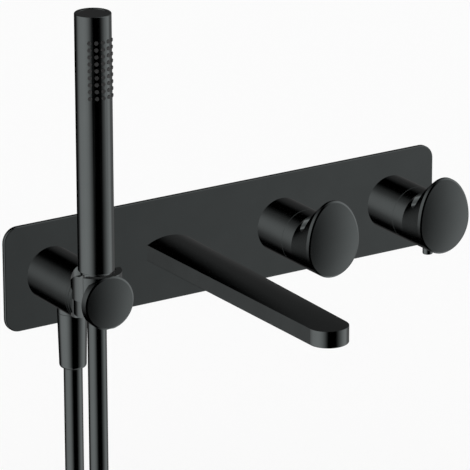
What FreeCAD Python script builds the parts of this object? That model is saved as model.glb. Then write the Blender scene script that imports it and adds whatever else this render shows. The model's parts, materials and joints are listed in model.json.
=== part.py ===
import FreeCAD, Part
import math
import os

# Wall mounted thermostatic bath filler with a hand shower, on one long wall plate.
# Frame: +X along the wall to the right, -Y out of the wall, +Z up. Millimetres.
# Origin: the middle of the plate's back face, which lies on the finished wall.

V = FreeCAD.Vector

# ---------------------------------------------------------------- clearances
running = 0.05          # radial, shaft in its bearing
sliding = 0.08          # radial, push button in its hole
free = 0.35             # radial, between pieces of different bodies that only pass
seat = 0.10             # radial, pieces of one body that slip together
seam = 0.4              # axial gap at the visible seam behind a handle

# ---------------------------------------------------------------- wall plate
plate_width = 378.0
plate_height = 80.5
plate_thickness = 3.0
plate_corner_r = 11.5
plate_edge_r = 0.8
station_pitch = 100.0   # holder, spout, diverter and thermostat stand at this spacing
gasket_width = 5.0
gasket_thickness = 1.0
gasket_inset = 4.0

# ---------------------------------------------------------------- knobs
knob_r = 21.2
sleeve_length = 33.0
sleeve_wall = 2.0
handle_wall = 3.2
handle_hub_r = 10.5
handle_hollow = 11.0    # depth of the hollow behind the handle's solid front
face_out = 73.6         # crown of the face, from the plate's front
face_rise = 17.2        # how far the face stands above the round part
face_spread = 1.2       # the face is this much wider than the round part, each side
face_wide_z = 4.2       # height of the face's widest line above the knob's axis
face_crown_r = 140.0
face_bevel = 1.3        # width and depth of the shallow bevel round the face
face_bevel_depth = 0.45
neck_start = 46.0       # where the round part starts to grow into the oval face
neck_end = 68.0
scoop_edge_out = 51.5   # finger scoop: rear edge, valley and back of the lip
scoop_edge_r = 6.0
scoop_valley_out = 55.5
scoop_valley_z = 5.5
scoop_valley_r = 3.6
scoop_lip_out = 67.2
scoop_lip_r = 1.0
skirt_reach = 4.0       # how far the handle's skirt goes into the sleeve
skirt_wall = 0.95
adapter_r = 7.4
adapter_back = 31.0
adapter_length = 16.0
adapter_front_wall = 4.0
adapter_step = 1.2      # the spindle's end is this much slimmer than its shaft
adapter_teeth = 20
adapter_tooth_r = 0.35
adapter_screw_r = 1.6
adapter_screw_head_r = 3.6
adapter_screw_head = 2.8
adapter_key = 2.6
grub_out = 39.0
grub_r = 2.5
button_out = 50.0
button_r = 3.9
button_proud = 6.0
button_length = 10.0
button_room = 6.5       # of the hole above the button
button_wall = 1.2
button_well = 3.0       # depth of the hollow that takes the spring
button_edge_r = 0.8
button_spring_wire = 0.6
button_spring_height = 8.6
button_spring_turns = 5

# ---------------------------------------------------------------- concealed valve body
body_front = 10.0       # depth of the body's front behind the wall surface
body_depth = 34.0
boss_step = 3.5         # the knobs' bosses stand this far above and below the bar
bar_edge_r = 6.0
bar_left = 160.0        # ends of the bar that joins the four stations
bar_right = 187.0
boss_wall = 4.2
pipe_boss_r = 12.0
cartridge_r = 16.8
cartridge_depth = 30.0
cartridge_neck_r = 12.0
cartridge_neck_out = 20.0
diverter_cavity = 22.0
thermostat_cavity = 26.0
spindle_r = 5.0
spindle_bore_r = 1.7
spindle_head = 8.0
cavity_wall = 4.95      # of the cartridge, around its spindle's head
end_gap = 0.3           # in front of a spindle's head
disc_thick = 4.0
disc_hub = 3.2          # radius of the solid middle inside the ports
disc_rim = 2.7          # left outside the ports
disc_small_port_r = 2.0
disc_small_port_z = 3.5
lapped = 0.05           # between the two ceramic discs
disc_back = 2.0         # clear depth behind the fixed disc
drive_screw_r = 3.0     # of the thermostat's spindle, in its piston
drive_screw_length = 6.0
piston_side = 2.5       # the piston is this much smaller in radius than the spindle's head
piston_gap = 2.0
piston_length = 8.0
piston_stem_r = 4.0
piston_stem = 5.0
wax_r = 5.5
wax_length = 4.5
nut_across = 36.0
nut_thick = 4.4
stop_ring_wall = 3.0
stop_ring_length = 6.0
stop_lug_half = 2.5
stop_lug_low = 5.5
inlet_half_pitch = 21.0
inlet_boss_r = 14.0
inlet_boss_length = 24.0
inlet_r = 9.3           # tapping bore of a half inch pipe thread
inlet_thread = 14.0
waterway_r = 4.0
check_bore_r = 6.0
check_seat_r = 3.2
check_cage_height = 12.0
check_seat_height = 3.0
poppet_r = 4.2
poppet_thick = 1.75
poppet_stem_r = 1.5
poppet_stem = 4.2
poppet_nose = 2.25
poppet_nose_r = 1.6
poppet_nose_top_r = 2.8
ear_pitch_x = 200.0
ear_pitch_z = 49.0
ear_r = 8.5
ear_thick = 8.0
ear_hole_r = 3.25
pipe_wall = 2.5         # of the pipes that run out of the body
pipe_engage = 4.0       # how far they stop before the waterway's axis

# ---------------------------------------------------------------- spout
spout_reach = 228.6
spout_root_half = 18.3
spout_tip_half = 14.9
spout_top = 5.8
spout_bottom = -6.4
spout_crown = 10.2      # top of the dome at the wall
spout_tip_crown = 0.4   # what is left of the dome at the tip, above the side's edge
spout_edge_r = 0.5
spigot_r = 5.0
spigot_bore_r = 3.2
spigot_z = 0.3
spigot_engage = 24.0
oring_at = (15.0, 19.0)
oring_width = 2.0
oring_depth = 1.0
spout_screw_out = 9.0
spout_margin = 2.0      # the dome is lofted this much wider than the outline
channel_r = 4.2
channel_drop = 0.8
aerator_r = 9.0
aerator_depth = 7.6
aerator_from_tip = 17.5
aerator_recess = 0.4
aerator_ring_wall = 1.6
aerator_ring_height = 6.0
aerator_insert_height = 5.0
aerator_hole_r = 0.8
aerator_circles = ((1, 0.0), (6, 2.4), (12, 4.8))
aerator_seal_wall = 3.0
aerator_seal_height = 1.1

# ---------------------------------------------------------------- holder and hose outlet
column_rim = 1.75       # the column's radius less the cup's
column_out = 54.6
collar_rim = 1.55
collar_out = 61.4
collar_groove = 1.0
collar_groove_depth = 0.7
holder_out = 64.4       # axis of the hand shower, from the plate's front
cup_top = 20.9
cup_rim_flat = 2.0      # the rim is level from the front to this far short of the axis, then falls
cup_rim_slope = 0.62
cup_step = 2.0
cup_chamfer = 1.2
cup_bottom = -10.8
cup_slot = 3.6
cup_slot_angle = 24.0   # of the slot, from the left side towards the front
cup_lower_wall = 2.4
cup_shoulder = 1.95     # the upper part is this much larger in radius
liner_wall = 2.35       # at the nut's largest diameter
liner_top_gap = 0.6
stud_r = 4.0
cap_rim_over = 1.45     # the cap is this much larger in radius than the cup
cap_back = 77.0
cap_rim = 83.2
cap_crown = 1.6
cap_z = 1.6
cap_bevel = 1.3
cap_bevel_depth = 0.45
cap_hub_r = 6.0
outlet_out = 29.1
stub_r = 8.3            # hose thread
stub_length = 12.0
elbow_step = 0.6        # the pipe ends this far inside the stub's far side
outlet_boss = 0.2        # the column's seat for the nut stands this far below it
outlet_nut_top_r = 11.1
outlet_nut_low_r = 10.0
outlet_nut_low = -63.5
nut_edge_r = 2.4
nut_top_edge_r = 0.5
nut_gap = 0.3           # above the outlet nut
washer_thick = 2.0
washer_bore_r = 5.2
tail_bore_r = 4.0

# ---------------------------------------------------------------- hand shower
shower_r = 13.25
shower_wall = 1.5
shower_bottom = 21.7
shower_top = 212.7
shower_edge_r = 0.6
shower_top_wall = 4.0
shower_top_ledge = 2.0
shower_liner_gap = 3.0
shower_liner_wall = 1.2
shower_end_length = 14.0
shower_end_bore_r = 5.0
shower_nut_gap = 0.4
nozzle_rows = 9
nozzle_columns = 5
nozzle_pitch = 5.08
nozzle_turn = 21.0      # degrees between columns
nozzle_r = 1.4
nozzle_proud = 0.9
nozzle_first = 18.7     # first row below the top
nozzle_root = 1.5       # how far a nozzle reaches in behind the wall
nozzle_pad_wall = 1.55
nozzle_pad_rim = 4.0
shower_nut_top_r = 11.5
shower_nut_low_r = 9.8
shower_nut_low = -11.0

# ---------------------------------------------------------------- hose
hose_r = 7.0
hose_socket = 3.5       # how far the hose reaches into the mouth of its nut
hose_split = -117.0     # where the shower's own leg of the hose ends
coil_r = 70.5
coil_z = -280.0
coil_pitch = 14.1
coil_turns = 2.75
tie_width = 16.0
tie_thickness = 1.4

station = [(k - 1.5) * station_pitch for k in range(4)]
holder_x, spout_x, diverter_x, thermostat_x = station
face_half_width = knob_r + face_spread
knob_boss_r = cartridge_r + boss_wall
bar_half_height = knob_boss_r - boss_step
spindle_head_r = cartridge_r - cavity_wall - free
disc_port_r = (spindle_head_r - disc_rim - disc_hub) / 2
disc_port_at = spindle_head_r - disc_rim - disc_port_r
piston_r = spindle_head_r - piston_side
pipe_r = waterway_r + pipe_wall
liner_r = shower_nut_top_r + free + liner_wall
cup_lower_r = liner_r + cup_lower_wall
cup_r = cup_lower_r + cup_shoulder
cap_r = cup_r + cap_rim_over
column_r = cup_r + column_rim
collar_r = cup_r + collar_rim


def out(d):
    """Y of a place d in front of the plate's front face."""
    return -(plate_thickness + d)


body_back = body_front + body_depth
body_mid = body_front + body_depth / 2
holder_y = out(holder_out)
outlet_y = out(outlet_out)
made = []


def save(name, *solids):
    shape = solids[0] if len(solids) == 1 else Part.makeCompound(list(solids))
    shape.exportStep("parts/" + name + ".step")
    made.append((name, shape.isValid(), shape.Volume, len(shape.Solids)))


def rod(x, z, r, y0, y1):
    return Part.makeCylinder(r, abs(y1 - y0), V(x, min(y0, y1), z), V(0, 1, 0))


def post(x, y, r, z0, z1):
    return Part.makeCylinder(r, abs(z1 - z0), V(x, y, min(z0, z1)), V(0, 0, 1))


def cone(x, y, z0, r0, z1, r1):
    return Part.makeCone(r0, r1, z1 - z0, V(x, y, z0), V(0, 0, 1))


def pipe_y(x, z, r_out, r_in, y0, y1):
    return rod(x, z, r_out, y0, y1).cut(rod(x, z, r_in, y0, y1))


def pipe_z(x, y, r_out, r_in, z0, z1):
    return post(x, y, r_out, z0, z1).cut(post(x, y, r_in, z0, z1))


def block(x0, x1, y0, y1, z0, z1):
    return Part.makeBox(x1 - x0, y1 - y0, z1 - z0, V(x0, y0, z0))


def round_edges(shape, r, wanted):
    edges = [e for e in shape.Edges if wanted(e)]
    return shape.makeFillet(r, edges)


def on_plane(edge, axis, at):
    box = edge.BoundBox
    low, high = (box.YMin, box.YMax) if axis == "y" else (box.ZMin, box.ZMax)
    return abs(low - at) < 1e-3 and abs(high - at) < 1e-3


def rounded_path(points, radii):
    """Straight runs through the points, joined by tangent arcs of the given radii at the inner points."""
    edges = []
    here = points[0]
    for k in range(1, len(points) - 1):
        back = (points[k - 1] - points[k]).normalize()
        ahead = (points[k + 1] - points[k]).normalize()
        turn = math.pi - back.getAngle(ahead)
        reach = radii[k - 1] * math.tan(turn / 2)
        start = points[k] + back * reach
        end = points[k] + ahead * reach
        middle = (back + ahead).normalize()
        top = points[k] + middle * (radii[k - 1] / math.cos(turn / 2) - radii[k - 1])
        edges.append(Part.LineSegment(here, start).toShape())
        edges.append(Part.Arc(start, top, end).toShape())
        here = end
    edges.append(Part.LineSegment(here, points[-1]).toShape())
    return edges


def rounded_plate(width, height, corner, y0, y1):
    solid = block(-width / 2, width / 2, y0, y1, -height / 2, height / 2)
    return round_edges(solid, corner, lambda e: abs(e.BoundBox.YLength - (y1 - y0)) < 1e-3)


def hexagon(x, z, across, y0, y1):
    points = []
    for k in range(7):
        a = math.radians(60 * k)
        points.append(V(x + across / math.sqrt(3) * math.cos(a), y0, z + across / math.sqrt(3) * math.sin(a)))
    return Part.Face(Part.makePolygon(points)).extrude(V(0, y1 - y0, 0))


def grub_screw(x, y, z_low, z_high, r):
    screw = post(x, y, r, z_low, z_high)
    return screw.cut(post(x, y, r * 0.5, z_low, z_low + r * 0.9))


def coil_spring(x, y, z, r, wire, height, turns):
    line = Part.makeHelix(height / turns, height, r)
    section = Part.Wire(Part.Circle(V(r, 0, 0), V(0, 1, 0), wire).toShape())
    spring = Part.Wire(line).makePipeShell([section], True, True)
    spring.translate(V(x, y, z))
    return spring


# ================================================================ wall plate and its gasket
def plate_pieces():
    plate = rounded_plate(plate_width, plate_height, plate_corner_r, -plate_thickness, 0)
    plate = round_edges(plate, plate_edge_r, lambda e: on_plane(e, "y", -plate_thickness))
    gasket_outer = rounded_plate(plate_width - 2 * gasket_inset, plate_height - 2 * gasket_inset,
                                 plate_corner_r - gasket_inset, -gasket_thickness, 0)
    inner = gasket_inset + gasket_width
    gasket_inner = rounded_plate(plate_width - 2 * inner, plate_height - 2 * inner,
                                 plate_corner_r - gasket_inset - gasket_width / 2, -gasket_thickness, 0)
    gasket = gasket_outer.cut(gasket_inner)
    openings = [rod(spout_x, spigot_z, spigot_r + 1.5, out(1), 1)]
    openings.append(rod(holder_x, 0, pipe_r + 2, out(1), 1))
    for x in (diverter_x, thermostat_x):
        openings.append(rod(x, 0, cartridge_neck_r + 1.5, out(1), 1))
    save("wall_plate", plate.cut(gasket).cut(Part.makeCompound(openings)))
    save("plate_gasket", gasket)


# ================================================================ concealed valve body
def valve_body():
    body = block(-bar_left, bar_right, body_front + 5, body_back, -bar_half_height, bar_half_height)
    body = round_edges(body, bar_edge_r, lambda e: e.BoundBox.XLength > bar_left)
    boss_low = -bar_half_height - inlet_boss_length
    ear_back = body_front + ear_thick
    extra = [rod(x, 0, knob_boss_r, body_front, body_back) for x in (diverter_x, thermostat_x)]
    extra += [rod(x, 0, pipe_boss_r, body_front, body_back) for x in (holder_x, spout_x)]
    for x in (thermostat_x - inlet_half_pitch, thermostat_x + inlet_half_pitch):
        extra.append(post(x, body_mid, inlet_boss_r, boss_low, -bar_half_height + bar_edge_r))
    for side in (-1, 1):
        for end in (-1, 1):
            x = end * ear_pitch_x / 2
            z = side * ear_pitch_z / 2
            extra.append(rod(x, z, ear_r, body_front, ear_back))
            low, high = sorted((z, side * (bar_half_height - bar_edge_r)))
            extra.append(block(x - ear_r, x + ear_r, body_front, ear_back, low, high))
    body = body.multiFuse(extra).removeSplitter()
    holes = []
    for side in (-1, 1):
        for end in (-1, 1):
            holes.append(rod(end * ear_pitch_x / 2, side * ear_pitch_z / 2, ear_hole_r,
                             body_front - 1, ear_back + 1))
    for x in (diverter_x, thermostat_x):
        holes.append(rod(x, 0, cartridge_r + seat, body_front - 1, body_front + cartridge_depth + seat))
    # inlets up into the thermostat's bore
    for x in (thermostat_x - inlet_half_pitch, thermostat_x + inlet_half_pitch):
        holes.append(post(x, body_mid, inlet_r, boss_low - 1, boss_low + inlet_thread))
        holes.append(post(x, body_mid, check_bore_r, boss_low + inlet_thread - 1, 0))
        toward = thermostat_x - x
        holes.append(Part.makeCylinder(waterway_r, abs(toward), V(x, body_mid, 0), V(toward, 0, 0)))
    # mixed water to the diverter, then above to the spout and below to the hose outlet
    mixed_y = body_mid + 2 * waterway_r
    holes.append(Part.makeCylinder(waterway_r, station_pitch, V(diverter_x, mixed_y, 0), V(1, 0, 0)))
    high = bar_half_height - pipe_r
    holes.append(Part.makeCylinder(waterway_r, station_pitch, V(spout_x, body_mid, high), V(1, 0, 0)))
    holes.append(post(spout_x, body_mid, waterway_r, 0, high))
    holes.append(Part.makeCylinder(waterway_r, 2 * station_pitch, V(holder_x, body_mid, -high), V(1, 0, 0)))
    holes.append(post(holder_x, body_mid, waterway_r, -high, 0))
    holes.append(rod(spout_x, spigot_z, spigot_r + seat, body_front - 1, body_mid + waterway_r))
    holes.append(rod(holder_x, 0, pipe_r + seat, body_front - 1, body_mid + waterway_r))
    save("valve_body", body.cut(Part.makeCompound(holes)))


def inlet_checks():
    """A non-return valve above each inlet thread: a fixed cage and a poppet that lifts with the flow."""
    floor = -bar_half_height - inlet_boss_length + inlet_thread
    cages = []
    for name, x in (("hot", thermostat_x - inlet_half_pitch), ("cold", thermostat_x + inlet_half_pitch)):
        ledge = floor + check_seat_height
        cage = pipe_z(x, body_mid, check_bore_r - seat, check_seat_r, floor, ledge)
        wall = pipe_z(x, body_mid, check_bore_r - seat, check_bore_r - 1.2, ledge, floor + check_cage_height)
        cages.append(cage.fuse(wall).removeSplitter())
        seated = ledge + running
        disc_top = seated + poppet_thick
        poppet = post(x, body_mid, poppet_r, seated, disc_top)
        stem = post(x, body_mid, poppet_stem_r, disc_top, disc_top + poppet_stem)
        nose = cone(x, body_mid, seated - poppet_nose, poppet_nose_r, seated, poppet_nose_top_r)
        save(name + "_check_poppet", poppet.multiFuse([stem, nose]).removeSplitter())
    save("check_valve_cages", *cages)


# ================================================================ cartridges
def cartridge_shell(x, cavity_depth):
    """Bonnet that fills the body's bore, with a neck through the wall plate that carries the spindle."""
    back = body_front + cartridge_depth
    shell = rod(x, 0, cartridge_r, body_front - nut_thick + 2, back)
    shell = shell.fuse(rod(x, 0, cartridge_neck_r, body_front, out(cartridge_neck_out)))
    shell = shell.removeSplitter()
    shell = shell.cut(rod(x, 0, spindle_head_r + free, back - cavity_depth, back + 1))
    return shell.cut(rod(x, 0, spindle_r + running, back, out(cartridge_neck_out + 1)))


def spindle_shape(x, head_front, head_back):
    """Shaft through the neck, a driving head inside, and a reduced end for the handle's adapter."""
    end_out = adapter_back + adapter_length - adapter_front_wall
    shaft = rod(x, 0, spindle_r, head_front, out(adapter_back))
    shaft = shaft.fuse(rod(x, 0, spindle_r - adapter_step, out(adapter_back), out(end_out)))
    shaft = shaft.fuse(rod(x, 0, spindle_head_r, head_front, head_back)).removeSplitter()
    return shaft.cut(rod(x, 0, spindle_bore_r, out(adapter_back), out(end_out + 1)))


def handle_adapter(name, x):
    front = adapter_back + adapter_length
    step = front - adapter_front_wall
    hub = pipe_y(x, 0, adapter_r, spindle_r - adapter_step + seat, out(adapter_back), out(step))
    head_room = pipe_y(x, 0, adapter_r, adapter_screw_head_r + 0.6, out(step), out(front))
    hub = hub.fuse(head_room).removeSplitter()
    teeth = []
    for k in range(adapter_teeth):
        a = 2 * math.pi * k / adapter_teeth
        tooth_x, tooth_z = x + adapter_r * math.cos(a), adapter_r * math.sin(a)
        teeth.append(rod(tooth_x, tooth_z, adapter_tooth_r, out(adapter_back - 1), out(front + 1)))
    save(name + "_adapter", hub.cut(Part.makeCompound(teeth)))
    screw = rod(x, 0, adapter_screw_r, out(adapter_back + 3), out(step))
    screw = screw.fuse(rod(x, 0, adapter_screw_head_r, out(step), out(step + adapter_screw_head)))
    screw = screw.removeSplitter().cut(hexagon(x, 0, adapter_key, out(front), out(front - 3)))
    save(name + "_adapter_screw", screw)


def diverter_inside(back):
    """Spindle, the disc that it turns and the fixed disc below it, with the ports through both."""
    x = diverter_x
    head_front = back - diverter_cavity + end_gap
    head_back = head_front + spindle_head
    disc_end = head_back + disc_thick
    save("diverter_spindle", spindle_shape(x, head_front, head_back))
    turning = rod(x, 0, spindle_head_r, head_back, disc_end)
    ports = [rod(x + disc_port_at, 0, disc_port_r, head_front, back)]
    ports.append(rod(x - disc_port_at, disc_small_port_z, disc_small_port_r, head_front, back))
    save("diverter_turning_disc", turning.cut(Part.makeCompound(ports)))
    fixed = rod(x, 0, spindle_head_r, disc_end + lapped, back - disc_back)
    fixed_ports = []
    for degrees in (0, 120, 240):
        a = math.radians(degrees)
        port_x, port_z = x + disc_port_at * math.cos(a), disc_port_at * math.sin(a)
        fixed_ports.append(rod(port_x, port_z, disc_port_r, head_front, back + 1))
    save("diverter_fixed_disc", fixed.cut(Part.makeCompound(fixed_ports)))


def thermostat_inside(back):
    """Spindle with its drive screw, the regulating piston on that screw, and the wax element behind."""
    x = thermostat_x
    front = back - thermostat_cavity + end_gap
    head_back = front + 5
    screw_end = head_back + drive_screw_length
    spindle = spindle_shape(x, front, head_back)
    save("thermostat_spindle", spindle.fuse(rod(x, 0, drive_screw_r, head_back, screw_end)).removeSplitter())
    piston_front = head_back + piston_gap
    piston_back = piston_front + piston_length
    stem_end = piston_back + piston_stem
    piston = rod(x, 0, piston_r, piston_front, piston_back)
    piston = piston.fuse(rod(x, 0, piston_stem_r, piston_back, stem_end)).removeSplitter()
    save("thermostat_piston", piston.cut(rod(x, 0, drive_screw_r + running, front, screw_end + 1.5)))
    save("wax_element", rod(x, 0, wax_r, stem_end, stem_end + wax_length))


def cartridges():
    back = body_front + cartridge_depth
    save("diverter_cartridge", cartridge_shell(diverter_x, diverter_cavity))
    diverter_inside(back)
    save("thermostat_cartridge", cartridge_shell(thermostat_x, thermostat_cavity))
    thermostat_inside(back)
    nuts = []
    nut_back = body_front - nut_thick + 2
    for x in (diverter_x, thermostat_x):
        nut = hexagon(x, 0, nut_across, nut_back - nut_thick, nut_back)
        nuts.append(nut.cut(rod(x, 0, cartridge_neck_r + seat, 0, body_front)))
    save("cartridge_nuts", *nuts)
    ring_front = cartridge_neck_out - 1
    ring_back = ring_front - stop_ring_length
    outer = cartridge_neck_r + stop_ring_wall
    ring = pipe_y(thermostat_x, 0, outer, cartridge_neck_r + seat, out(ring_back), out(ring_front))
    lug = block(thermostat_x - stop_lug_half, thermostat_x + stop_lug_half, out(ring_front), out(ring_back),
                -cartridge_neck_r - stop_lug_low, -cartridge_neck_r - stop_ring_wall / 2)
    save("stop_ring", ring.fuse(lug).removeSplitter())


# ================================================================ handles
def ring_wire(x, y, r):
    right, left = V(x + r, y, 0), V(x - r, y, 0)
    arcs = [Part.Arc(right, V(x, y, r), left), Part.Arc(left, V(x, y, -r), right)]
    return Part.Wire([arc.toShape() for arc in arcs])


def egg_wire(x, y, z, half_width, above, below):
    """Two half ellipses that meet at the widest line, at height z."""
    halves = []
    for height, start in ((above, math.pi / 2), (below, -math.pi / 2)):
        curve = Part.Ellipse(V(x, y, z + height), V(x - half_width, y, z), V(x, y, z))
        if start < 0:
            curve = Part.Ellipse(V(x, y, z - height), V(x + half_width, y, z), V(x, y, z))
        halves.append(Part.ArcOfEllipse(curve, -math.pi / 2, math.pi / 2).toShape())
    return Part.Wire(halves)


def handle_shape(x):
    """Round at the seam, growing into a tall oval face, with a finger scoop cut into its top."""
    face_z = face_rise / 2
    outline = [face_wide_z, face_half_width, knob_r + face_rise - face_wide_z, knob_r + face_wide_z]
    seam_out = sleeve_length + seam
    body = rod(x, 0, knob_r, out(seam_out), out(neck_start))
    egg = egg_wire(x, out(neck_end), *outline)
    neck = Part.makeLoft([ring_wire(x, out(neck_start), knob_r), egg], True, True)
    face = Part.Face(egg)
    face = face.extrude(V(0, -(face_out + 2 - neck_end), 0))
    body = body.multiFuse([neck, face]).removeSplitter()
    ball = Part.makeSphere(face_crown_r, V(x, out(face_out) + face_crown_r, face_z))
    body = body.common(ball)
    rim = [e for e in body.Edges if e.BoundBox.YMax < out(neck_end + 0.2)]
    body = body.makeChamfer(face_bevel_depth, face_bevel, rim)
    high = knob_r + 2 * face_rise
    scoop_points = [V(0, out(neck_start - 6), high), V(0, out(neck_start - 6), knob_r + 0.05),
                    V(0, out(scoop_edge_out), knob_r + 0.05), V(0, out(scoop_valley_out), scoop_valley_z),
                    V(0, out(scoop_lip_out), knob_r + face_rise + 1.5), V(0, out(scoop_lip_out), high)]
    edges = rounded_path(scoop_points[1:], [scoop_edge_r, scoop_valley_r, scoop_lip_r])
    edges.append(Part.LineSegment(scoop_points[-1], scoop_points[0]).toShape())
    edges.append(Part.LineSegment(scoop_points[0], scoop_points[1]).toShape())
    scoop = Part.Face(Part.Wire(Part.__sortEdges__(edges)))
    scoop.translate(V(x - 2 * knob_r, 0, 0))
    body = body.cut(scoop.extrude(V(4 * knob_r, 0, 0)))
    hollow_front = seam_out + handle_hollow
    hollow = pipe_y(x, 0, knob_r - handle_wall, handle_hub_r, out(seam_out - 1), out(hollow_front))
    body = body.cut(hollow)
    skirt_r = knob_r - sleeve_wall - free
    skirt_end = seam_out - skirt_reach
    body = body.fuse(pipe_y(x, 0, skirt_r, skirt_r - skirt_wall, out(skirt_end), out(seam_out + 0.5)))
    body = body.removeSplitter().cut(rod(x, 0, handle_hub_r + 1, out(skirt_end - 1), out(seam_out + 0.5)))
    socket = rod(x, 0, adapter_r, out(skirt_end), out(adapter_back + adapter_length + seat))
    body = body.cut(socket)
    return body.cut(post(x, out(grub_out), grub_r, -knob_r - 1, -adapter_r + 0.5))


def knobs():
    for name, x in (("diverter", diverter_x), ("thermostat", thermostat_x)):
        save(name + "_sleeve", pipe_y(x, 0, knob_r, knob_r - sleeve_wall, out(0), out(sleeve_length)))
        handle = handle_shape(x)
        if name == "thermostat":
            hole_top = -knob_r - button_proud + button_length + button_room
            handle = handle.cut(post(x, out(button_out), button_r + sliding, -knob_r - 2, hole_top))
        save(name + "_handle", handle)
        handle_adapter(name, x)
        screw = grub_screw(x, out(grub_out), -handle_hub_r - grub_r, -adapter_r - 0.05, grub_r)
        save(name + "_grub_screw", screw)
    low = -knob_r - button_proud
    y = out(button_out)
    top = low + button_length
    button = post(thermostat_x, y, button_r, low, top)
    button = round_edges(button, button_edge_r, lambda e: on_plane(e, "z", low))
    well = post(thermostat_x, y, button_r - button_wall, top - button_well, top + 1)
    save("safety_button", button.cut(well))
    wire_r = button_spring_wire / 2
    spring_low = top - button_well + wire_r + 0.1
    coil = coil_spring(thermostat_x, y, spring_low, button_r - button_wall - 0.8, wire_r,
                       button_spring_height, button_spring_turns)
    save("button_spring", coil)


# ================================================================ spout
def spout_pieces():
    length = spout_reach
    root, tip = out(0), out(length)
    tip_centre = tip + spout_tip_half
    grow = (spout_root_half - spout_tip_half) / (length - spout_tip_half)
    left, right = V(spout_x - spout_root_half, root, 0), V(spout_x + spout_root_half, root, 0)
    left_tip = V(spout_x - spout_tip_half, tip_centre, 0)
    right_tip = V(spout_x + spout_tip_half, tip_centre, 0)
    outline = Part.Wire([Part.LineSegment(left, left_tip).toShape(),
                         Part.Arc(left_tip, V(spout_x, tip, 0), right_tip).toShape(),
                         Part.LineSegment(right_tip, right).toShape(),
                         Part.LineSegment(right, left).toShape()])
    prism = Part.Face(outline).extrude(V(0, 0, 2 * spout_crown - spout_bottom))
    prism.translate(V(0, 0, spout_bottom))

    def section(d, crown):
        """Cross section d out from the plate, a little wider than the outline, with a domed top."""
        half = spout_root_half - grow * d
        r = (half * half + crown * crown) / (2 * crown)
        wide = half + spout_margin
        edge = spout_top + crown - (r - math.sqrt(r * r - wide * wide))
        y = out(d)
        low_left, low_right = V(spout_x - wide, y, spout_bottom - 1), V(spout_x + wide, y, spout_bottom - 1)
        top_left, top_right = V(spout_x - wide, y, edge), V(spout_x + wide, y, edge)
        return Part.Wire([Part.LineSegment(low_left, top_left).toShape(),
                          Part.Arc(top_left, V(spout_x, y, spout_top + crown), top_right).toShape(),
                          Part.LineSegment(top_right, low_right).toShape(),
                          Part.LineSegment(low_right, low_left).toShape()])

    sections = [section(0, spout_crown - spout_top), section(length + 1, spout_tip_crown)]
    body = prism.common(Part.makeLoft(sections, True, True))
    body = round_edges(body, spout_edge_r,
                       lambda e: on_plane(e, "z", spout_bottom) and e.BoundBox.YMin < root - 5)
    aerator_y = out(length - aerator_from_tip)
    body = body.cut(rod(spout_x, spigot_z, spigot_r + seat, root + 1, out(spigot_engage)))
    body = body.cut(rod(spout_x, spigot_z - channel_drop, channel_r, out(spigot_engage - 2), aerator_y))
    body = body.cut(post(spout_x, aerator_y, aerator_r, spout_bottom - 1, spout_bottom + aerator_depth))
    body = body.cut(post(spout_x, out(spout_screw_out), grub_r, spout_bottom - 1, 0))
    save("spout_body", body)
    spout_fixings()
    aerator_pieces(aerator_y)


def spout_fixings():
    """The pipe that the spout slides on, its two seals and the screw that holds the spout from below."""
    back = body_mid - pipe_engage
    spigot = pipe_y(spout_x, spigot_z, spigot_r, spigot_bore_r, out(spigot_engage - 1), back)
    grooves, rings = [], []
    for d in oring_at:
        ends = out(d), out(d + oring_width)
        grooves.append(pipe_y(spout_x, spigot_z, spigot_r + 1, spigot_r - oring_depth, *ends))
        rings.append(pipe_y(spout_x, spigot_z, spigot_r + seat / 2, spigot_r - oring_depth, *ends))
    save("spout_spigot", spigot.cut(Part.makeCompound(grooves)))
    save("spout_orings", *rings)
    top = spigot_z - spigot_r + 0.1
    screw = grub_screw(spout_x, out(spout_screw_out), spout_bottom + 0.4, top, grub_r - 0.05)
    pipe = rod(spout_x, spigot_z, spigot_r, out(spout_screw_out - 4), out(spout_screw_out + 4))
    save("spout_grub_screw", screw.cut(pipe))


def aerator_pieces(y):
    """Mouthpiece: a threaded ring, a perforated insert and a flat seal above them."""
    low = spout_bottom + aerator_recess
    outer = aerator_r - 0.05
    ring_top = low + aerator_ring_height
    save("aerator_ring", pipe_z(spout_x, y, outer, aerator_r - aerator_ring_wall, low, ring_top))
    insert_r = aerator_r - aerator_ring_wall - 0.05
    insert = post(spout_x, y, insert_r, ring_top - 0.4 - aerator_insert_height, ring_top - 0.4)
    holes = []
    for count, r in aerator_circles:
        for k in range(count):
            a = 2 * math.pi * k / count
            place_x, place_y = spout_x + r * math.cos(a), y + r * math.sin(a)
            holes.append(post(place_x, place_y, aerator_hole_r, low, ring_top + 1))
    save("aerator_insert", insert.cut(Part.makeCompound(holes)))
    seal_low = ring_top + 0.02
    seal = pipe_z(spout_x, y, outer, aerator_r - aerator_seal_wall, seal_low, seal_low + aerator_seal_height)
    save("aerator_seal", seal)


# ================================================================ holder, hose outlet and cap
def nut_radius(z, z_top, r_top, z_low, r_low):
    return r_low + (r_top - r_low) * (z - z_low) / (z_top - z_low)


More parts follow.
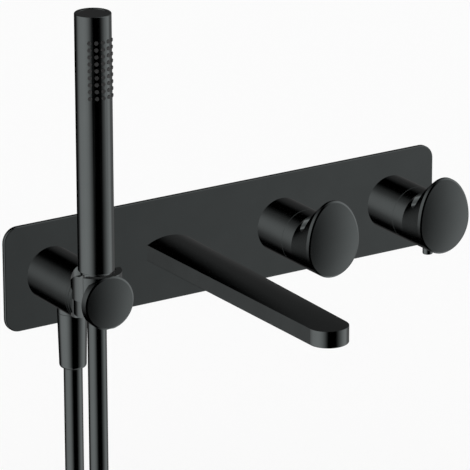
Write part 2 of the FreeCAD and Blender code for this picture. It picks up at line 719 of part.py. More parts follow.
def holder_column(hull):
    """Column and grooved collar on the wall plate, hollow for the waterway that turns down inside."""
    stud_way = stud_r + 0.05
    elbow_end = outlet_out + stub_r
    column = rod(holder_x, 0, column_r, out(0), out(column_out)).cut(hull)
    nut_seat = post(holder_x, outlet_y, outlet_nut_top_r, -column_r - outlet_boss, 0)
    column = column.fuse(nut_seat).removeSplitter()
    column = column.cut(rod(holder_x, 0, pipe_r + seat, out(-1), out(elbow_end + 0.7)))
    column = column.cut(post(holder_x, outlet_y, stub_r + 1.0, -column_r - outlet_boss - 1, 0))
    save("holder_column", column.cut(rod(holder_x, 0, stud_way, out(elbow_end), out(holder_out))))
    collar = rod(holder_x, 0, collar_r, out(column_out + 0.05), out(collar_out)).cut(hull)
    groove_at = (column_out + collar_out - collar_groove) / 2
    groove = pipe_y(holder_x, 0, collar_r + 1, collar_r - collar_groove_depth,
                    out(groove_at), out(groove_at + collar_groove))
    stud_hole = rod(holder_x, 0, stud_way, out(column_out - 1), out(holder_out))
    save("holder_collar", collar.cut(groove).cut(stud_hole))
    elbow = rod(holder_x, 0, pipe_r, out(elbow_end - elbow_step), body_mid - pipe_engage)
    stub_end = -column_r - outlet_boss - stub_length
    elbow = elbow.fuse(post(holder_x, outlet_y, stub_r, 0, stub_end)).removeSplitter()
    bore = rod(holder_x, 0, waterway_r, out(outlet_out), body_mid)
    bore = bore.fuse(post(holder_x, outlet_y, waterway_r + 1, waterway_r - 1, stub_end - 1))
    save("outlet_elbow", elbow.cut(bore))
    stud = rod(holder_x, 0, stud_r, out(elbow_end + 0.4), out(holder_out - liner_r - 0.05))
    save("holder_stud", stud.cut(post(holder_x, holder_y, liner_r + 0.03, -5, 5)))


def rim_wedge(top):
    """What lies above the rim, which falls towards the wall."""
    start, end = holder_y - cup_rim_flat, holder_y + 2 * cup_r
    fallen = top - (end - start) * cup_rim_slope
    corners = [V(0, start, top), V(0, end, top), V(0, end, fallen), V(0, start, top)]
    wedge = Part.Face(Part.makePolygon(corners)).extrude(V(4 * cup_r, 0, 0))
    wedge.translate(V(holder_x - 2 * cup_r, 0, 0))
    return wedge


def holder_cup():
    """Cup of two diameters with a narrow slot, and a liner whose taper follows the hose nut."""
    cup = post(holder_x, holder_y, cup_r, cup_step, cup_top)
    lower = post(holder_x, holder_y, cup_lower_r, cup_bottom, cup_step)
    shoulder = cone(holder_x, holder_y, cup_step - cup_chamfer, cup_lower_r, cup_step, cup_r)
    cup = cup.multiFuse([lower, shoulder]).removeSplitter()
    cup = cup.cut(post(holder_x, holder_y, liner_r + 0.02, cup_bottom - 1, cup_top + 1))
    above_rim = rim_wedge(cup_top)
    slot = block(-2 * cup_r, 0, -cup_slot / 2, cup_slot / 2, cup_bottom - 1, cup_top + 1)
    slot.rotate(V(0, 0, 0), V(0, 0, 1), cup_slot_angle)
    slot.translate(V(holder_x, holder_y, 0))
    stud_hole = rod(holder_x, 0, stud_r + 0.05, out(holder_out - cup_r - 3), out(holder_out - liner_r + 2))
    hub_hole = rod(holder_x, cap_z, cap_hub_r + 0.05, out(holder_out), out(cap_rim))
    save("holder_cup", cup.cut(above_rim).cut(slot).cut(stud_hole).cut(hub_hole))
    nut_top = shower_bottom - shower_nut_gap
    r_high = nut_radius(cup_top, nut_top, shower_nut_top_r, shower_nut_low, shower_nut_low_r) + free
    r_low = nut_radius(cup_bottom, nut_top, shower_nut_top_r, shower_nut_low, shower_nut_low_r) + free
    liner = post(holder_x, holder_y, liner_r, cup_bottom, cup_top - liner_top_gap)
    liner = liner.cut(rim_wedge(cup_top - liner_top_gap))
    save("cup_liner", liner.cut(cone(holder_x, holder_y, cup_bottom, r_low, cup_top, r_high)).cut(slot))


def holder_cap():
    """Crowned disc on the front of the cup, with a hub that seats in the cup's wall."""
    crown = out(cap_rim + cap_crown)
    cap = rod(holder_x, cap_z, cap_r, out(cap_back), crown)
    crown_r = (cap_r * cap_r + cap_crown * cap_crown) / (2 * cap_crown)
    cap = cap.common(Part.makeSphere(crown_r, V(holder_x, crown + crown_r, cap_z)))
    rim = [e for e in cap.Edges if e.BoundBox.YMax < out(cap_rim - 0.5) and e.BoundBox.XLength > cap_r]
    cap = cap.makeChamfer(cap_bevel_depth, cap_bevel, rim)
    cap = cap.cut(post(holder_x, holder_y, cup_r + 0.03, -cap_r - 3, cap_r + 5))
    hub = rod(holder_x, cap_z, cap_hub_r, out(holder_out + liner_r + 0.6), out(cap_rim - 1))
    hub = hub.cut(post(holder_x, holder_y, liner_r + 0.05, -10, 12))
    save("holder_cap", cap.fuse(hub).removeSplitter())


def holder_pieces():
    holder_column(post(holder_x, holder_y, cup_r, -column_r - 5, column_r + 5))
    holder_cup()
    holder_cap()


def hose_nut(name, y, z_top, r_top, z_low, r_low, thread_depth):
    nut = cone(holder_x, y, z_low, r_low, z_top, r_top)
    nut = round_edges(nut, nut_edge_r, lambda e: on_plane(e, "z", z_low))
    nut = round_edges(nut, nut_top_edge_r, lambda e: on_plane(e, "z", z_top))
    nut = nut.cut(post(holder_x, y, stub_r + 0.05, z_top - thread_depth, z_top + 1))
    save(name + "_nut", nut.cut(post(holder_x, y, hose_r + 0.15, z_low - 1, z_top)))
    floor = z_top - thread_depth
    washer = pipe_z(holder_x, y, stub_r, washer_bore_r, floor + 0.02, floor + washer_thick - 0.05)
    save(name + "_washer", washer)
    save(name + "_tail", pipe_z(holder_x, y, hose_r, tail_bore_r, z_low + hose_socket, floor))


def outlet_nut():
    top = -column_r - outlet_boss - nut_gap
    depth = stub_length - nut_gap + washer_thick
    hose_nut("outlet", outlet_y, top, outlet_nut_top_r, outlet_nut_low, outlet_nut_low_r, depth)


# ================================================================ hand shower
def hand_shower():
    x, y = holder_x, holder_y
    body = post(x, y, shower_r, shower_bottom, shower_top)
    body = round_edges(body, shower_edge_r,
                       lambda e: on_plane(e, "z", shower_bottom) or on_plane(e, "z", shower_top))
    inner = shower_r - shower_wall
    lid_r = inner - shower_top_ledge
    body = body.cut(post(x, y, inner, shower_bottom - 1, shower_top - shower_top_wall))
    body = body.cut(post(x, y, lid_r, shower_top - shower_top_wall - 1, shower_top + 1))
    nozzles, holes = [], []
    nozzle_length = nozzle_root + shower_wall + nozzle_proud
    for row in range(nozzle_rows):
        z = shower_top - nozzle_first - row * nozzle_pitch
        for column in range(nozzle_columns):
            a = math.radians(-90 + (column - (nozzle_columns - 1) / 2) * nozzle_turn)
            way = V(math.cos(a), math.sin(a), 0)
            start = V(x, y, z) + way * (inner - nozzle_root)
            nozzles.append(Part.makeCylinder(nozzle_r, nozzle_length, start, way))
            holes.append(Part.makeCylinder(nozzle_r + running, 2 * nozzle_length, start, way))
    save("hand_shower_body", body.cut(Part.makeCompound(holes)))
    save("hand_shower_top", post(x, y, lid_r - running, shower_top - 3.9, shower_top - 0.2))
    high = shower_top - nozzle_first + nozzle_pad_rim
    low = high - (nozzle_rows - 1) * nozzle_pitch - 2 * nozzle_pad_rim
    pad = pipe_z(x, y, inner - running, inner - running - nozzle_pad_wall, low, high)
    wedge_r = 2 * shower_r
    corners = [V(x, y, low), V(x - wedge_r, y - wedge_r, low), V(x + wedge_r, y - wedge_r, low), V(x, y, low)]
    pad = pad.common(Part.Face(Part.makePolygon(corners)).extrude(V(0, 0, high - low)))
    save("nozzle_pad", pad.multiFuse(nozzles).removeSplitter())
    liner_outer = inner - shower_liner_gap
    save("hand_shower_liner", pipe_z(x, y, liner_outer, liner_outer - shower_liner_wall,
                                     shower_bottom + shower_end_length, shower_top - 6))
    nut_top = shower_bottom - shower_nut_gap
    end = post(x, y, inner - 0.03, shower_bottom + 0.3, shower_bottom + shower_end_length - 0.1)
    end = end.fuse(post(x, y, stub_r, nut_top - stub_length, shower_bottom + 1)).removeSplitter()
    save("hand_shower_end", end.cut(post(x, y, shower_end_bore_r, 0, shower_bottom + shower_end_length)))
    hose_nut("shower", y, nut_top, shower_nut_top_r, shower_nut_low, shower_nut_low_r,
             stub_length + washer_thick)


# ================================================================ hose
def hose_tube(name, points):
    """Tube of the hose through the points, each arc as large as its two runs allow."""
    radii = []
    for k in range(1, len(points) - 1):
        back, ahead = points[k - 1] - points[k], points[k + 1] - points[k]
        turn = math.pi - back.getAngle(ahead)
        radii.append(0.45 * min(back.Length, ahead.Length) / math.tan(turn / 2))
    path = Part.Wire(rounded_path(points, radii))
    section = Part.Wire(Part.Circle(points[0], points[1] - points[0], hose_r).toShape())
    tube = path.makePipeShell([section], True, False)
    save(name, tube)
    ideal = math.pi * hose_r ** 2 * path.Length
    print(name, "length", round(path.Length, 1), "radii", [round(r, 1) for r in radii],
          "volume over section times length", round(tube.Volume / ideal, 4))
    return path.Length


def hose_pieces():
    top_outlet = outlet_nut_low + hose_socket
    top_shower = shower_nut_low + hose_socket
    x = holder_x
    total = hose_tube("hose_outlet_leg", [
        V(x, outlet_y, top_outlet), V(x, outlet_y, -182), V(x - 47, outlet_y + 1, -228)])
    save("hose_shower_leg", post(x, holder_y, hose_r, hose_split, top_shower))
    total += top_shower - hose_split
    total += hose_tube("hose_lower_leg", [
        V(x, holder_y, hose_split - 0.3), V(x, holder_y, -182), V(x + 47, holder_y - 1, -228)])
    middle = (outlet_y + holder_y) / 2
    half = coil_pitch * coil_turns / 2 + hose_r
    ring = pipe_y(x, coil_z, coil_r + hose_r, coil_r - hose_r, middle - half, middle + half)
    save("hose_coil", ring)
    total += coil_turns * math.hypot(2 * math.pi * coil_r, coil_pitch)
    print("hose, end to end", round(total, 1))
    low = coil_z - coil_r - hose_r - free
    high = coil_z - math.sqrt((coil_r - hose_r) ** 2 - tie_width ** 2 / 4) + free
    front, back = middle - half - free, middle + half + free
    tie = block(x - tie_width / 2, x + tie_width / 2, front - tie_thickness, back + tie_thickness,
                low - tie_thickness, high + tie_thickness)
    save("hose_tie", tie.cut(block(x - tie_width, x + tie_width, front, back, low, high)))


os.makedirs("parts", exist_ok=True)
plate_pieces()
valve_body()
inlet_checks()
cartridges()
knobs()
spout_pieces()
holder_pieces()
outlet_nut()
hand_shower()
hose_pieces()
for name, valid, volume, count in made:
    print(name, "valid" if valid else "NOT VALID", round(volume), "mm3", count)
print(len(made), "nodes")
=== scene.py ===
import json
import math
import bmesh
import bpy
from mathutils import Matrix, Vector

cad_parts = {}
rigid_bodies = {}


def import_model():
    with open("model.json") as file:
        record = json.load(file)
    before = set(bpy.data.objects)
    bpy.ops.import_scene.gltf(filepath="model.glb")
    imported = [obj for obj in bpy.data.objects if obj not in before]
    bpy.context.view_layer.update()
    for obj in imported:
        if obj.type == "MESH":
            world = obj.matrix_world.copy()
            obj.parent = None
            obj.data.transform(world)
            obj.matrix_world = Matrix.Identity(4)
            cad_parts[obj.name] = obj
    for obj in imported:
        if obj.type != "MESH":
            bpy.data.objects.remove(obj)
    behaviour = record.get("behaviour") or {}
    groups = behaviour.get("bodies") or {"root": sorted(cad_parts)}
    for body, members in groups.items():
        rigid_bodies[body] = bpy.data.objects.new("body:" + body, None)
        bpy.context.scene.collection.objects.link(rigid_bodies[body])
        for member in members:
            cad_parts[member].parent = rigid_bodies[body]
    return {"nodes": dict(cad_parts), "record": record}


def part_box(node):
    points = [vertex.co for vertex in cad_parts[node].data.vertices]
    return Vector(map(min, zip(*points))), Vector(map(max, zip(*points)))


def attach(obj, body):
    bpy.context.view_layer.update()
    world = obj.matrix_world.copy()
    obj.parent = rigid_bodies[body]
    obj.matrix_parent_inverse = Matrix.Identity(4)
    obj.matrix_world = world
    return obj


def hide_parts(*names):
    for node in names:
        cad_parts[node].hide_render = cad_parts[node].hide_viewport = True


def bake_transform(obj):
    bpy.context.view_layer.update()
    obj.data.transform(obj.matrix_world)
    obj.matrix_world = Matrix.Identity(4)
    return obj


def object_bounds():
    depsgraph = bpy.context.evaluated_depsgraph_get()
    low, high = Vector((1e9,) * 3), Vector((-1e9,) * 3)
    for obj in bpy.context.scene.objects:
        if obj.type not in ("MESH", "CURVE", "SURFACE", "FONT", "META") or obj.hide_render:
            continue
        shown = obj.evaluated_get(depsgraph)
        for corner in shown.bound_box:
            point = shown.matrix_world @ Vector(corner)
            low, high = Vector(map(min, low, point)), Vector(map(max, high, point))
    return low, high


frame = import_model()
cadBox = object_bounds()
record = frame["record"]
print("frame loaded:", len(frame["nodes"]), "nodes")


# ---- small helpers

def addMesh(name, bm):
    mesh = bpy.data.meshes.new(name)
    bm.to_mesh(mesh)
    bm.free()
    thing = bpy.data.objects.new(name, mesh)
    bpy.context.scene.collection.objects.link(thing)
    return thing


def smoothed(thing, degrees):
    # smooth faces, with the edges steeper than this kept sharp
    mesh = thing.data
    mesh.shade_smooth()
    mesh.set_sharp_from_angle(angle=math.radians(degrees))
    return thing


# ---- node groups

def startGroup(name, inputs, outputs):
    group = bpy.data.node_groups.new(name, "ShaderNodeTree")
    for label, kind, value in inputs:
        socket = group.interface.new_socket(name=label, in_out="INPUT", socket_type=kind)
        socket.default_value = value
    for label, kind in outputs:
        group.interface.new_socket(name=label, in_out="OUTPUT", socket_type=kind)
    source = group.nodes.new("NodeGroupInput")
    result = group.nodes.new("NodeGroupOutput")
    return group, source, result


def addNode(tree, kind, links=(), **settings):
    # one node, with its settings and what feeds its inputs
    node = tree.nodes.new(kind)
    for key, value in settings.items():
        setattr(node, key, value)
    for socket, feed in dict(links).items():
        if isinstance(feed, bpy.types.NodeSocket):
            tree.links.new(feed, node.inputs[socket])
        else:
            node.inputs[socket].default_value = feed
    return node


def calc(tree, operation, first, second=0.0, third=0.0):
    node = addNode(tree, "ShaderNodeMath", {0: first, 1: second, 2: third}, operation=operation)
    return node.outputs[0]


def spread(tree, value, low, high, toLow=0.0, toHigh=1.0):
    links = {"Value": value, "From Min": low, "From Max": high, "To Min": toLow, "To Max": toHigh}
    return addNode(tree, "ShaderNodeMapRange", links).outputs["Result"]


def mixed(tree, first, firstShare, second, secondShare):
    rest = calc(tree, "MULTIPLY", second, secondShare)
    return calc(tree, "MULTIPLY_ADD", first, firstShare, rest)


def noise(tree, place, scale, detail, roughness=0.5):
    links = {"Vector": place, "Scale": scale, "Detail": detail, "Roughness": roughness}
    return addNode(tree, "ShaderNodeTexNoise", links).outputs["Fac"]


coatSettings = {"peelDetail": 2.0, "peelRoughness": 0.45, "speckScale": 5200.0, "speckGloss": 0.05,
                "driftScale": 38.0, "driftDetail": 4.0, "driftRoughness": 0.6, "darkest": 0.96,
                "lightest": 1.04}


def buildCoatGrain():
    # fine orange peel of a sprayed coat, with slow drifts in its gloss and tone
    group, source, result = startGroup(
        "coatGrain",
        [("Peel Scale", "NodeSocketFloat", 1400.0), ("Tone", "NodeSocketColor", (0.1, 0.1, 0.1, 1)),
         ("Gloss", "NodeSocketFloat", 0.2), ("Gloss Drift", "NodeSocketFloat", 0.03)],
        [("Color", "NodeSocketColor"), ("Roughness", "NodeSocketFloat"), ("Height", "NodeSocketFloat")])
    place = addNode(group, "ShaderNodeTexCoord").outputs["Object"]
    peel = noise(group, place, source.outputs["Peel Scale"], coatSettings["peelDetail"],
                 coatSettings["peelRoughness"])
    speck = noise(group, place, coatSettings["speckScale"], 1.0)
    drift = noise(group, place, coatSettings["driftScale"], coatSettings["driftDetail"],
                  coatSettings["driftRoughness"])
    shift = spread(group, drift, 0.3, 0.7, -1.0, 1.0)
    rough = calc(group, "MULTIPLY_ADD", shift, source.outputs["Gloss Drift"], source.outputs["Gloss"])
    speckle = calc(group, "SUBTRACT", speck, 0.5)
    rough = calc(group, "MULTIPLY_ADD", speckle, coatSettings["speckGloss"], rough)
    value = spread(group, drift, 0.25, 0.75, coatSettings["darkest"], coatSettings["lightest"])
    tone = addNode(group, "ShaderNodeHueSaturation", {"Color": source.outputs["Tone"], "Value": value})
    group.links.new(tone.outputs["Color"], result.inputs["Color"])
    group.links.new(rough, result.inputs["Roughness"])
    group.links.new(peel, result.inputs["Height"])
    return group


turnSettings = {"ringShare": 0.45, "streakShare": 0.55, "streakScale": (90, 2400, 90), "detail": 2.0,
                "streakDetail": 3.0}


def buildTurnMarks():
    # fine rings that a lathe leaves, round an axis given by the mapping before it
    group, source, result = startGroup(
        "turnMarks",
        [("Vector", "NodeSocketVector", (0, 0, 0)), ("Pitch", "NodeSocketFloat", 2600.0),
         ("Wander", "NodeSocketFloat", 0.3)],
        [("Height", "NodeSocketFloat"), ("Mask", "NodeSocketFloat")])
    rings = addNode(group, "ShaderNodeTexWave",
                    {"Vector": source.outputs["Vector"], "Scale": source.outputs["Pitch"],
                     "Distortion": source.outputs["Wander"], "Detail": turnSettings["detail"]},
                    wave_type="BANDS", bands_direction="Y").outputs["Fac"]
    links = {"Vector": source.outputs["Vector"], "Scale": turnSettings["streakScale"]}
    stretched = addNode(group, "ShaderNodeMapping", links).outputs["Vector"]
    streaks = noise(group, stretched, 1.0, turnSettings["streakDetail"])
    both = mixed(group, rings, turnSettings["ringShare"], streaks, turnSettings["streakShare"])
    group.links.new(both, result.inputs["Height"])
    group.links.new(streaks, result.inputs["Mask"])
    return group


castSettings = {"lumpShare": 0.75, "poreShare": 0.25, "lumpDetail": 5.0, "lumpRoughness": 0.62,
                "poreReach": 0.35}


def buildCastSkin():
    # sand cast skin: soft lumps, pores, and darker hollows
    group, source, result = startGroup(
        "castSkin",
        [("Lump Scale", "NodeSocketFloat", 260.0), ("Pore Scale", "NodeSocketFloat", 1500.0)],
        [("Height", "NodeSocketFloat"), ("Mask", "NodeSocketFloat")])
    place = addNode(group, "ShaderNodeTexCoord").outputs["Object"]
    lumps = noise(group, place, source.outputs["Lump Scale"], castSettings["lumpDetail"],
                  castSettings["lumpRoughness"])
    cells = addNode(group, "ShaderNodeTexVoronoi", {"Vector": place, "Scale": source.outputs["Pore Scale"]})
    pores = spread(group, cells.outputs["Distance"], 0.0, castSettings["poreReach"])
    height = mixed(group, lumps, castSettings["lumpShare"], pores, castSettings["poreShare"])
    group.links.new(height, result.inputs["Height"])
    group.links.new(spread(group, lumps, 0.32, 0.68), result.inputs["Mask"])
    return group


coatGrain = buildCoatGrain()
turnMarks = buildTurnMarks()
castSkin = buildCastSkin()


# ---- materials

def startMaterial(name, **fixed):
    material = bpy.data.materials.new(name)
    material.use_nodes = True
    tree = material.node_tree
    shader = tree.nodes["Principled BSDF"]
    for label, value in fixed.items():
        shader.inputs[label.replace("_", " ")].default_value = value
    return material, tree, shader


def placeGroup(tree, group, **values):
    node = tree.nodes.new("ShaderNodeGroup")
    node.node_tree = group
    for label, value in values.items():
        node.inputs[label.replace("_", " ")].default_value = value
    return node


def bumpFrom(tree, shader, height, depth, strength=1.0):
    bump = addNode(tree, "ShaderNodeBump", {"Height": height, "Distance": depth, "Strength": strength})
    tree.links.new(bump.outputs["Normal"], shader.inputs["Normal"])


def blackCoat(name, tone, gloss, peel=0.000002):
    material, tree, shader = startMaterial(name, Metallic=1.0)
    coat = placeGroup(tree, coatGrain, Tone=(*tone, 1), Gloss=gloss)
    tree.links.new(coat.outputs["Color"], shader.inputs["Base Color"])
    tree.links.new(coat.outputs["Roughness"], shader.inputs["Roughness"])
    bumpFrom(tree, shader, coat.outputs["Height"], peel)
    return material


def turnedMetal(name, tone, stain, gloss, axis="Y"):
    # bare turned metal: fine rings about the piece's own axis, and a slightly stained tone
    material, tree, shader = startMaterial(name, Metallic=1.0)
    place = addNode(tree, "ShaderNodeTexCoord").outputs["Object"]
    if axis == "Z":
        links = {"Vector": place, "Rotation": (math.pi / 2, 0, 0)}
        place = addNode(tree, "ShaderNodeMapping", links).outputs["Vector"]
    marks = placeGroup(tree, turnMarks)
    tree.links.new(place, marks.inputs["Vector"])
    mixTone(tree, shader, marks.outputs["Mask"], tone, stain)
    rough = spread(tree, marks.outputs["Mask"], 0.3, 0.7, gloss - 0.05, gloss + 0.09)
    tree.links.new(rough, shader.inputs["Roughness"])
    bumpFrom(tree, shader, marks.outputs["Height"], 0.000012)
    return material


def castMetal(name, tone, stain, gloss):
    # cast skin outside, with a duller and redder tone in its hollows
    material, tree, shader = startMaterial(name, Metallic=1.0)
    skin = placeGroup(tree, castSkin)
    mixTone(tree, shader, skin.outputs["Mask"], stain, tone)
    rough = spread(tree, skin.outputs["Mask"], 0.0, 1.0, gloss + 0.16, gloss)
    tree.links.new(rough, shader.inputs["Roughness"])
    bumpFrom(tree, shader, skin.outputs["Height"], 0.00022, 0.8)
    return material


def mixTone(tree, shader, mask, first, second):
    blend = addNode(tree, "ShaderNodeMix", {"Factor": mask}, data_type="RGBA")
    for socket, tone in zip([i for i in blend.inputs if i.type == "RGBA"], (first, second)):
        socket.default_value = (*tone, 1)
    colour = [o for o in blend.outputs if o.type == "RGBA"][0]
    tree.links.new(colour, shader.inputs["Base Color"])


def mouldedStuff(name, tone, shade, gloss, grain, depth, **fixed):
    # rubber, plastic and ceramic: a fine grain, and slow drifts of tone and gloss
    material, tree, shader = startMaterial(name, **fixed)
    skin = placeGroup(tree, coatGrain, Tone=(*tone, 1), Gloss=gloss, Gloss_Drift=0.05, Peel_Scale=grain)
    place = addNode(tree, "ShaderNodeTexCoord").outputs["Object"]
    flow = noise(tree, place, 90.0, 3.0)
    mixTone(tree, shader, spread(tree, flow, 0.35, 0.65), tone, shade)
    tree.links.new(skin.outputs["Roughness"], shader.inputs["Roughness"])
    bumpFrom(tree, shader, skin.outputs["Height"], depth)
    return material


def wovenStrap(name, tone, light):
    # narrow hook and loop webbing: warp and weft waves on the strap's own map
    material, tree, shader = startMaterial(name, Roughness=0.85, Sheen_Weight=0.35, Sheen_Roughness=0.4)
    shader.inputs["Specular IOR Level"].default_value = 0.25
    place = addNode(tree, "ShaderNodeUVMap", uv_map="strapMap").outputs["UV"]
    threads = []
    for way, count in (("X", 26.0), ("Y", 20.0)):
        links = {"Vector": place, "Scale": count, "Distortion": 0.6, "Detail": 2.0}
        wave = addNode(tree, "ShaderNodeTexWave", links, wave_type="BANDS", bands_direction=way)
        threads.append(wave.outputs["Fac"])
    weave = calc(tree, "MAXIMUM", *threads)
    fuzz = noise(tree, place, 160.0, 4.0)
    height = calc(tree, "MULTIPLY_ADD", fuzz, 0.35, weave)
    mixTone(tree, shader, spread(tree, height, 0.3, 1.2), tone, light)
    bumpFrom(tree, shader, height, 0.0004)
    return material


brassTone = (0.66, 0.47, 0.20)
brassStain = (0.50, 0.33, 0.13)
materials = {
    "matt_black": blackCoat("blackSatin", (0.118, 0.129, 0.129), 0.13),
    "hose": blackCoat("hoseSheath", (0.112, 0.123, 0.123), 0.15, 0.000004),
    "brass": turnedMetal("turnedBrass", brassTone, brassStain, 0.24),
    "rubber": mouldedStuff("mouldedRubber", (0.018, 0.018, 0.018), (0.028, 0.028, 0.028), 0.55, 2200.0,
                           0.00001),
    "steel": turnedMetal("turnedSteel", (0.60, 0.60, 0.61), (0.44, 0.44, 0.45), 0.22, "Z"),
    "ceramic": mouldedStuff("lappedCeramic", (0.83, 0.81, 0.77), (0.76, 0.74, 0.70), 0.12, 3000.0, 0.000002),
    "plastic": mouldedStuff("greyPlastic", (0.46, 0.47, 0.48), (0.54, 0.55, 0.56), 0.38, 1800.0, 0.000012),
    "tie": wovenStrap("wovenTie", (0.012, 0.012, 0.013), (0.05, 0.05, 0.052)),
}
special = {"valve_body": castMetal("castBrass", brassTone, (0.36, 0.22, 0.09), 0.42),
           "outlet_elbow": turnedMetal("turnedElbow", brassTone, brassStain, 0.26),
           # the cup liner's near-black tone is painted shade: it stands for the dark inside of the holder's
           # slot, in place of grey plastic
           "cup_liner": mouldedStuff("linerShadePlastic", (0.02, 0.021, 0.021), (0.03, 0.03, 0.031), 0.4, 1800.0,
                                     0.00001)}

for part in record["subparts"]:
    mesh = frame["nodes"][part["node"]].data
    mesh.materials.clear()
    mesh.materials.append(special.get(part["node"], materials[part["material_slot"]]))
print("materials placed")


# ---- hose

hoseSize = {"radius": 0.007, "coilCentre": (-0.150, -0.280), "coilRadius": 0.0719, "pitch": 0.0141,
            "firstTurnY": -0.0304, "startAngle": 135.0, "step": 22.5, "steps": 44, "length": 1.64,
            "alongSteps": 12, "roundSteps": 8}


def hoseRoute():
    # down from the outlet nut, round the stored coil, and up to the hand shower's nut
    x, z = hoseSize["coilCentre"]
    route = [(-0.150, -0.0321, -0.0600), (-0.150, -0.0321, -0.1160), (-0.150, -0.0321, -0.1820),
             (-0.197, -0.0311, -0.2280)]
    for k in range(1, hoseSize["steps"]):
        turned = hoseSize["step"] * k
        angle = math.radians(hoseSize["startAngle"] + turned)
        y = hoseSize["firstTurnY"] - hoseSize["pitch"] * turned / 360
        r = hoseSize["coilRadius"]
        route.append((x + r * math.cos(angle), y, z + r * math.sin(angle)))
    route += [(-0.103, -0.0684, -0.2280), (-0.150, -0.0674, -0.1820), (-0.150, -0.0674, -0.1170),
              (-0.150, -0.0674, -0.0075)]
    return route


def splineCurve(name, route):
    curve = bpy.data.curves.new(name, "CURVE")
    curve.dimensions = "3D"
    curve.resolution_u = hoseSize["alongSteps"]
    spline = curve.splines.new("NURBS")
    spline.points.add(len(route) - 1)
    for point, place in zip(spline.points, route):
        point.co = (*place, 1.0)
    spline.order_u = 3
    spline.use_endpoint_u = True
    thing = bpy.data.objects.new(name, curve)
    bpy.context.scene.collection.objects.link(thing)
    return thing


def makeHose():
    line = splineCurve("hoseLine", hoseRoute())
    centreMesh = bpy.data.meshes.new_from_object(line)
    path = [tuple(v.co) for v in centreMesh.vertices]
    line.data.bevel_depth = hoseSize["radius"]
    line.data.bevel_resolution = hoseSize["roundSteps"]
    line.data.use_fill_caps = True
    bpy.context.view_layer.update()
    tube = bpy.data.meshes.new_from_object(line.evaluated_get(bpy.context.evaluated_depsgraph_get()))
    tube.name = "shower_hose"
    bpy.data.objects.remove(line)
    hose = bpy.data.objects.new("shower_hose", tube)
    bpy.context.scene.collection.objects.link(hose)
    tube.materials.clear()
    tube.materials.append(materials["hose"])
    tube.shade_smooth()
    return hose, path


hose, hosePath = makeHose()
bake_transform(hose)
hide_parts("hose_outlet_leg", "hose_lower_leg", "hose_shower_leg", "hose_coil")
print("hose laid:", len(hosePath), "points")


# ---- tie round the stored coil

tieSize = {"thickness": 0.0013, "corner": 0.0068, "cornerSteps": 8, "tabLift": 0.0009, "cuts": 7,
           "shellShare": 0.6, "mapLength": 0.02, "sharpFrom": 50}


def runsAcross(edge):
    # edges that run from one side of the strap to the other
    return abs((edge.verts[0].co - edge.verts[1].co).x) > 0.001


def makeTie():
    # a strap bent round the turns, with its free end pressed onto itself in front
    low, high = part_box("hose_tie")
    wall = tieSize["thickness"]
    low, high = low + Vector((0, wall, wall)), high - Vector((0, wall, wall))
    bm = bmesh.new()
    bmesh.ops.create_cube(bm, size=1.0)
    bmesh.ops.scale(bm, verts=bm.verts, vec=high - low)
    bmesh.ops.translate(bm, verts=bm.verts, vec=(low + high) / 2)
    ends = [f for f in bm.faces if abs(f.normal.x) > 0.9]
    bmesh.ops.delete(bm, geom=ends, context="FACES")
    corners = [e for e in bm.edges if runsAcross(e)]
    bmesh.ops.bevel(bm, geom=corners, offset=tieSize["corner"], segments=tieSize["cornerSteps"], profile=0.5,
                    affect="EDGES", material=-1, offset_type="OFFSET")
    front = min(bm.faces, key=lambda f: f.calc_center_median().y)
    copied = bmesh.ops.duplicate(bm, geom=[front])["geom"]
    tab = [v for v in copied if isinstance(v, bmesh.types.BMVert)]
    bmesh.ops.translate(bm, verts=tab, vec=(0, -tieSize["tabLift"], 0))
    bmesh.ops.recalc_face_normals(bm, faces=bm.faces)
    bmesh.ops.subdivide_edges(bm, edges=[e for e in bm.edges if runsAcross(e)], cuts=tieSize["cuts"],
                              use_grid_fill=True)
    layer = bm.loops.layers.uv.new("strapMap")
    middle = (low + high) / 2
    for face in bm.faces:
        for loop in face.loops:
            away = loop.vert.co - middle
            loop[layer].uv = (away.x / tieSize["mapLength"], math.atan2(away.z, away.y) / math.pi * 2)
    tie = smoothed(addMesh("strapTie", bm), tieSize["sharpFrom"])
    shell = tie.modifiers.new("shell", "SOLIDIFY")
    shell.thickness = wall * tieSize["shellShare"]
    shell.offset = 1.0
    tie.data.materials.append(materials["tie"])
    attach(tie, "wall_unit")
    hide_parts("hose_tie")
    return tie


hoseTie = makeTie()
print("tie made")


# ---- camera

cameraSetup = {"place": (-1.5560, -2.4678, 1.0070), "target": (0.0086, -0.0030, -0.0005),
               "roll": -0.12, "lens": 315.66, "sensor": 36.0, "farthest": 100.0}


def addCamera():
    data = bpy.data.cameras.new("studioCamera")
    data.lens = cameraSetup["lens"]
    data.sensor_width = cameraSetup["sensor"]
    data.clip_end = cameraSetup["farthest"]
    camera = bpy.data.objects.new("studioCamera", data)
    bpy.context.scene.collection.objects.link(camera)
    place = Vector(cameraSetup["place"])
    back = (place - Vector(cameraSetup["target"])).normalized()
    right = Vector((0, 0, 1)).cross(back).normalized()
    up = back.cross(right)
    turn = Matrix((right, up, back)).transposed().to_4x4()
    turn = turn @ Matrix.Rotation(math.radians(cameraSetup["roll"]), 4, "Z")
    camera.matrix_world = Matrix.Translation(place) @ turn
    bpy.context.scene.camera = camera


addCamera()


# ---- studio: pale floor, and soft bands of light all round

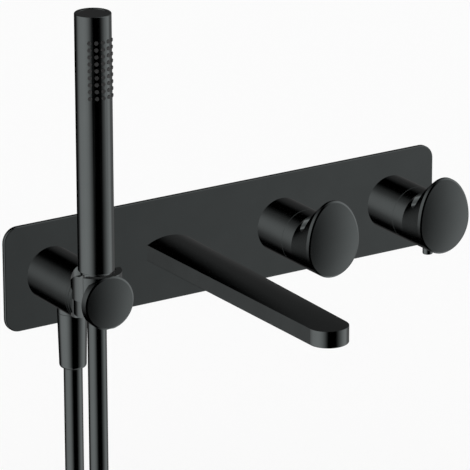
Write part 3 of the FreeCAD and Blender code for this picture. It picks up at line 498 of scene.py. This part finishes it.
studio = {"floorDrop": 0.02, "floorSize": 30.0, "azimuth": 32.405,
          "bands": [(-180, 0.07), (-174, 0.07), (-166, 0.03), (-160, 0.0), (-136, 0.0), (-129, 0.03),
                    (-124, 0.09), (-116, 0.18), (-112, 0.32), (-108, 0.56), (-101, 0.74), (-89, 0.95),
                    (-60, 1.03), (-45, 0.96), (-29, 0.70), (-17, 0.38), (-7, 0.10), (0, 0.0), (42, 0.0),
                    (47, 0.04), (53, 0.12), (60, 0.25), (66, 0.36), (77, 0.62), (89, 0.88), (104, 1.03),
                    (114, 0.91), (127, 0.36), (143, 0.26), (165, 0.12), (180, 0.07)],
          "lean": 6.0, "leanFrom": -0.326}


def addStudio():
    scene = bpy.context.scene
    scene.view_settings.view_transform = "Standard"
    world = bpy.data.worlds.new("softStudio")
    scene.world = world
    world.use_nodes = True
    world.cycles.sampling_method = "NONE"
    tree = world.node_tree
    background = tree.nodes["Background"]
    way = addNode(tree, "ShaderNodeTexCoord").outputs["Generated"]
    links = {"Vector": way, "Rotation": (0, 0, math.radians(studio["azimuth"]))}
    turned = addNode(tree, "ShaderNodeMapping", links, vector_type="POINT")
    parts = addNode(tree, "ShaderNodeSeparateXYZ", {0: turned.outputs["Vector"]}).outputs
    # 0 towards the camera's side, positive to its right
    angle = calc(tree, "ARCTAN2", parts["X"], calc(tree, "MULTIPLY", parts["Y"], -1.0))
    # the bands lean a little, so they come further round the higher they stand
    height = calc(tree, "SUBTRACT", parts["Z"], studio["leanFrom"])
    angle = calc(tree, "MULTIPLY_ADD", height, math.radians(studio["lean"]), angle)
    around = spread(tree, angle, -math.pi, math.pi)
    ramp = addNode(tree, "ShaderNodeValToRGB", {"Fac": around})
    ramp.color_ramp.interpolation = "LINEAR"
    stops = ramp.color_ramp.elements
    while len(stops) < len(studio["bands"]):
        stops.new(0.5)
    for stop, (degrees, light) in zip(stops, studio["bands"]):
        stop.position = (degrees + 180) / 360
        stop.color = (light, light, light, 1)
    # the bands are seen only in reflections, and everything else gets an even white
    glossy = addNode(tree, "ShaderNodeLightPath").outputs["Is Glossy Ray"]
    seen = calc(tree, "MULTIPLY_ADD", glossy, calc(tree, "SUBTRACT", ramp.outputs["Color"], 1.0), 1.0)
    tree.links.new(seen, background.inputs["Strength"])
    background.inputs["Color"].default_value = (1, 1, 1, 1)

    bm = bmesh.new()
    bmesh.ops.create_grid(bm, x_segments=1, y_segments=1, size=studio["floorSize"] / 2)
    bmesh.ops.translate(bm, verts=bm.verts, vec=(0, 0, cadBox[0][2] - studio["floorDrop"]))
    floor = addMesh("floor", bm)
    floor.visible_glossy = False
    floor.visible_shadow = False
    paint, _, shader = startMaterial("paleFloor", Base_Color=(0.97, 0.97, 0.97, 1), Roughness=1.0)
    shader.inputs["Specular IOR Level"].default_value = 0.0
    floor.data.materials.append(paint)


addStudio()

# the coat mirrors only the studio's bands, so the pieces stay clean of one another
for thing in bpy.data.objects:
    if thing.type == "MESH":
        thing.visible_glossy = False
print("camera and studio ready")
